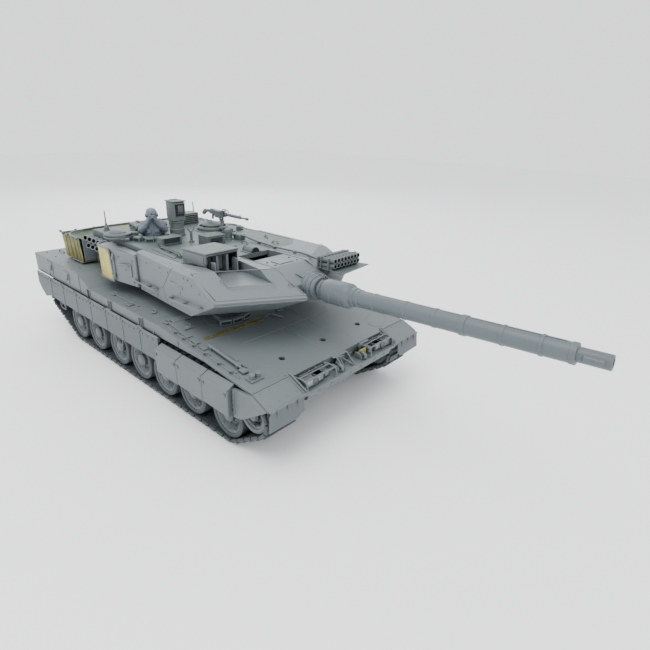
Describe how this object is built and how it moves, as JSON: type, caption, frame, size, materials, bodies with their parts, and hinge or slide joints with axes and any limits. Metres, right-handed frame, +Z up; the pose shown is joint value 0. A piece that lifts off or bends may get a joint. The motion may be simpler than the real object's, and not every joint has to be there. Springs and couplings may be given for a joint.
{
  "type": "radio controlled tank",
  "caption": "Scale model battle tank with tracks, skirted hull, turning wedge-fronted turret, elevating long gun, roof sights and a crew figure.",
  "frame": {"origin": "centre of the bounding box at ground level, under the middle of the overall length", "axes": "+X forward along the gun, +Y to the tank's left, +Z up"},
  "size_m": [0.6838, 0.235, 0.186],
  "materials": {
    "hull_plastic": "smooth unpainted moulded plastic, light blue-grey",
    "deck_plastic": "smooth moulded plastic, grey with a faint green cast",
    "track_plastic": "satin moulded plastic links",
    "wheel_plastic": "smooth moulded plastic",
    "flap_rubber": "soft grey skirt and flap sheet",
    "etched_brass": "thin etched brass sheet",
    "resin": "cast resin, pale blue-grey",
    "canvas": "rolled canvas",
    "steel": "screw steel",
    "electronics": "circuit board and motor housings",
    "battery": "shrink-wrapped battery",
    "clear_lens": "lamp glass"
  },
  "bodies": {
    "hull": {"lower_hull": "hull_plastic", "upper_hull": "deck_plastic", "engine_grilles": "hull_plastic", "side_skirt_right": "flap_rubber", "side_skirt_left": "flap_rubber", "heavy_skirt_right": "hull_plastic", "heavy_skirt_left": "hull_plastic", "track_right": "track_plastic", "track_left": "track_plastic", "suspension_arms": "hull_plastic", "battery_pack": "battery", "drive_gearboxes": "electronics", "control_board": "electronics", "traverse_motor": "electronics", "hull_screws": "steel", "headlights": "clear_lens", "front_mudflaps": "flap_rubber", "deck_fittings": "hull_plastic", "glacis_strip": "etched_brass"},
    "turret": {"turret_shell": "deck_plastic", "turret_armour_right": "hull_plastic", "turret_armour_left": "hull_plastic", "gunner_sight": "deck_plastic", "stowage_basket": "etched_brass", "side_bins": "hull_plastic", "smoke_launchers": "hull_plastic", "launcher_bank": "deck_plastic", "roof_fittings": "deck_plastic", "roof_hose": "flap_rubber", "antennas": "hull_plastic", "roof_tarps": "canvas", "crew_figure": "resin"},
    "gun_cradle": {"gun_mantlet": "hull_plastic"},
    "barrel": {"gun_barrel": "hull_plastic"},
    "panoramic_head": {"panoramic_sight": "hull_plastic"},
    "commander_lid": {"commander_hatch": "hull_plastic"},
    "loader_lid": {"loader_hatch": "hull_plastic"},
    "ring": {"weapon_ring": "hull_plastic"},
    "weapon": {"machine_gun": "hull_plastic"},
    "driver_lid": {"driver_hatch": "hull_plastic"},
    "switch": {"power_switch": "electronics"},
    "roller": {"traverse_roller": "flap_rubber"},
    "sprocket_wheel_right": {"sprocket_right": "wheel_plastic"},
    "idler_wheel_right": {"idler_right": "wheel_plastic"},
    "wheel_right_1": {"road_wheel_right_1": "wheel_plastic"},
    "wheel_right_2": {"road_wheel_right_2": "wheel_plastic"},
    "wheel_right_3": {"road_wheel_right_3": "wheel_plastic"},
    "wheel_right_4": {"road_wheel_right_4": "wheel_plastic"},
    "wheel_right_5": {"road_wheel_right_5": "wheel_plastic"},
    "wheel_right_6": {"road_wheel_right_6": "wheel_plastic"},
    "wheel_right_7": {"road_wheel_right_7": "wheel_plastic"},
    "sprocket_wheel_left": {"sprocket_left": "wheel_plastic"},
    "idler_wheel_left": {"idler_left": "wheel_plastic"},
    "wheel_left_1": {"road_wheel_left_1": "wheel_plastic"},
    "wheel_left_2": {"road_wheel_left_2": "wheel_plastic"},
    "wheel_left_3": {"road_wheel_left_3": "wheel_plastic"},
    "wheel_left_4": {"road_wheel_left_4": "wheel_plastic"},
    "wheel_left_5": {"road_wheel_left_5": "wheel_plastic"},
    "wheel_left_6": {"road_wheel_left_6": "wheel_plastic"},
    "wheel_left_7": {"road_wheel_left_7": "wheel_plastic"}
  },
  "joints": [
    {"name": "turret_traverse", "type": "hinge", "parent": "hull", "child": "turret", "pos_m": [-0.095, 0, 0.09], "axis": [0, 0, 1], "continuous": true},
    {"name": "gun_elevation", "type": "hinge", "parent": "turret", "child": "gun_cradle", "pos_m": [0.008, 0, 0.1236], "axis": [0, -1, 0], "range_deg": [-11, 17]},
    {"name": "barrel_recoil", "type": "slide", "parent": "gun_cradle", "child": "barrel", "axis": [-0.9988, 0, -0.0489], "range_m": [0, 0.006], "stiffness_N_per_m": 300, "springref_m": -0.006},
    {"name": "panoramic_sight_turn", "type": "hinge", "parent": "turret", "child": "panoramic_head", "pos_m": [-0.142, -0.011, 0.16], "axis": [0, 0, 1], "continuous": true},
    {"name": "commander_lid_swing", "type": "hinge", "parent": "turret", "child": "commander_lid", "pos_m": [-0.154, -0.0605, 0.15], "axis": [0, 0, 1], "range_deg": [-70, 50]},
    {"name": "loader_lid_swing", "type": "hinge", "parent": "turret", "child": "loader_lid", "pos_m": [-0.152, 0.063, 0.148], "axis": [0, 0, 1], "range_deg": [-110, 0]},
    {"name": "weapon_ring_turn", "type": "hinge", "parent": "turret", "child": "ring", "pos_m": [-0.142, 0.04, 0.148], "axis": [0, 0, 1], "range_deg": [-60, 60]},
    {"name": "weapon_elevation", "type": "hinge", "parent": "ring", "child": "weapon", "pos_m": [-0.122, 0.04, 0.1616], "axis": [0, -1, 0], "range_deg": [-10, 10]},
    {"name": "driver_lid_swing", "type": "hinge", "parent": "hull", "child": "driver_lid", "pos_m": [-0.00564, -0.026, 0.08521], "axis": [0.1203, 0, 0.9927], "range_deg": [-80, 0]},
    {"name": "power_switch_slide", "type": "slide", "parent": "hull", "child": "switch", "axis": [1, 0, 0], "range_m": [0, 0.008]},
    {"name": "traverse_roller_spin", "type": "hinge", "parent": "hull", "child": "roller", "pos_m": [-0.1581, 0, 0.0806], "axis": [0, 0, 1], "continuous": true},
    {"name": "drive_right", "type": "hinge", "parent": "hull", "child": "sprocket_wheel_right", "pos_m": [-0.297, 0, 0.05], "axis": [0, 1, 0], "continuous": true},
    {"name": "idler_spin_right", "type": "hinge", "parent": "hull", "child": "idler_wheel_right", "pos_m": [0.1076, 0, 0.0435], "axis": [0, 1, 0], "continuous": true},
    {"name": "wheel_spin_right_1", "type": "hinge", "parent": "hull", "child": "wheel_right_1", "pos_m": [0.0715, 0, 0.0272], "axis": [0, 1, 0], "continuous": true},
    {"name": "wheel_spin_right_2", "type": "hinge", "parent": "hull", "child": "wheel_right_2", "pos_m": [0.016, 0, 0.0272], "axis": [0, 1, 0], "continuous": true},
    {"name": "wheel_spin_right_3", "type": "hinge", "parent": "hull", "child": "wheel_right_3", "pos_m": [-0.0334, 0, 0.0272], "axis": [0, 1, 0], "continuous": true},
    {"name": "wheel_spin_right_4", "type": "hinge", "parent": "hull", "child": "wheel_right_4", "pos_m": [-0.0824, 0, 0.0272], "axis": [0, 1, 0], "continuous": true},
    {"name": "wheel_spin_right_5", "type": "hinge", "parent": "hull", "child": "wheel_right_5", "pos_m": [-0.1317, 0, 0.0272], "axis": [0, 1, 0], "continuous": true},
    {"name": "wheel_spin_right_6", "type": "hinge", "parent": "hull", "child": "wheel_right_6", "pos_m": [-0.1873, 0, 0.0272], "axis": [0, 1, 0], "continuous": true},
    {"name": "wheel_spin_right_7", "type": "hinge", "parent": "hull", "child": "wheel_right_7", "pos_m": [-0.2383, 0, 0.0272], "axis": [0, 1, 0], "continuous": true},
    {"name": "drive_left", "type": "hinge", "parent": "hull", "child": "sprocket_wheel_left", "pos_m": [-0.297, 0, 0.05], "axis": [0, 1, 0], "continuous": true},
    {"name": "idler_spin_left", "type": "hinge", "parent": "hull", "child": "idler_wheel_left", "pos_m": [0.1076, 0, 0.0435], "axis": [0, 1, 0], "continuous": true},
    {"name": "wheel_spin_left_1", "type": "hinge", "parent": "hull", "child": "wheel_left_1", "pos_m": [0.0715, 0, 0.0272], "axis": [0, 1, 0], "continuous": true},
    {"name": "wheel_spin_left_2", "type": "hinge", "parent": "hull", "child": "wheel_left_2", "pos_m": [0.016, 0, 0.0272], "axis": [0, 1, 0], "continuous": true},
    {"name": "wheel_spin_left_3", "type": "hinge", "parent": "hull", "child": "wheel_left_3", "pos_m": [-0.0334, 0, 0.0272], "axis": [0, 1, 0], "continuous": true},
    {"name": "wheel_spin_left_4", "type": "hinge", "parent": "hull", "child": "wheel_left_4", "pos_m": [-0.0824, 0, 0.0272], "axis": [0, 1, 0], "continuous": true},
    {"name": "wheel_spin_left_5", "type": "hinge", "parent": "hull", "child": "wheel_left_5", "pos_m": [-0.1317, 0, 0.0272], "axis": [0, 1, 0], "continuous": true},
    {"name": "wheel_spin_left_6", "type": "hinge", "parent": "hull", "child": "wheel_left_6", "pos_m": [-0.1873, 0, 0.0272], "axis": [0, 1, 0], "continuous": true},
    {"name": "wheel_spin_left_7", "type": "hinge", "parent": "hull", "child": "wheel_left_7", "pos_m": [-0.2383, 0, 0.0272], "axis": [0, 1, 0], "continuous": true}
  ],
  "couplings": [
    {"joint": "traverse_roller_spin", "follows": "turret_traverse", "ratio": -9.4883},
    {"joint": "idler_spin_right", "follows": "drive_right", "ratio": 1.0994},
    {"joint": "wheel_spin_right_1", "follows": "drive_right", "ratio": 0.84685},
    {"joint": "wheel_spin_right_2", "follows": "drive_right", "ratio": 0.84685},
    {"joint": "wheel_spin_right_3", "follows": "drive_right", "ratio": 0.84685},
    {"joint": "wheel_spin_right_4", "follows": "drive_right", "ratio": 0.84685},
    {"joint": "wheel_spin_right_5", "follows": "drive_right", "ratio": 0.84685},
    {"joint": "wheel_spin_right_6", "follows": "drive_right", "ratio": 0.84685},
    {"joint": "wheel_spin_right_7", "follows": "drive_right", "ratio": 0.84685},
    {"joint": "idler_spin_left", "follows": "drive_left", "ratio": 1.0994},
    {"joint": "wheel_spin_left_1", "follows": "drive_left", "ratio": 0.84685},
    {"joint": "wheel_spin_left_2", "follows": "drive_left", "ratio": 0.84685},
    {"joint": "wheel_spin_left_3", "follows": "drive_left", "ratio": 0.84685},
    {"joint": "wheel_spin_left_4", "follows": "drive_left", "ratio": 0.84685},
    {"joint": "wheel_spin_left_5", "follows": "drive_left", "ratio": 0.84685},
    {"joint": "wheel_spin_left_6", "follows": "drive_left", "ratio": 0.84685},
    {"joint": "wheel_spin_left_7", "follows": "drive_left", "ratio": 0.84685}
  ]
}
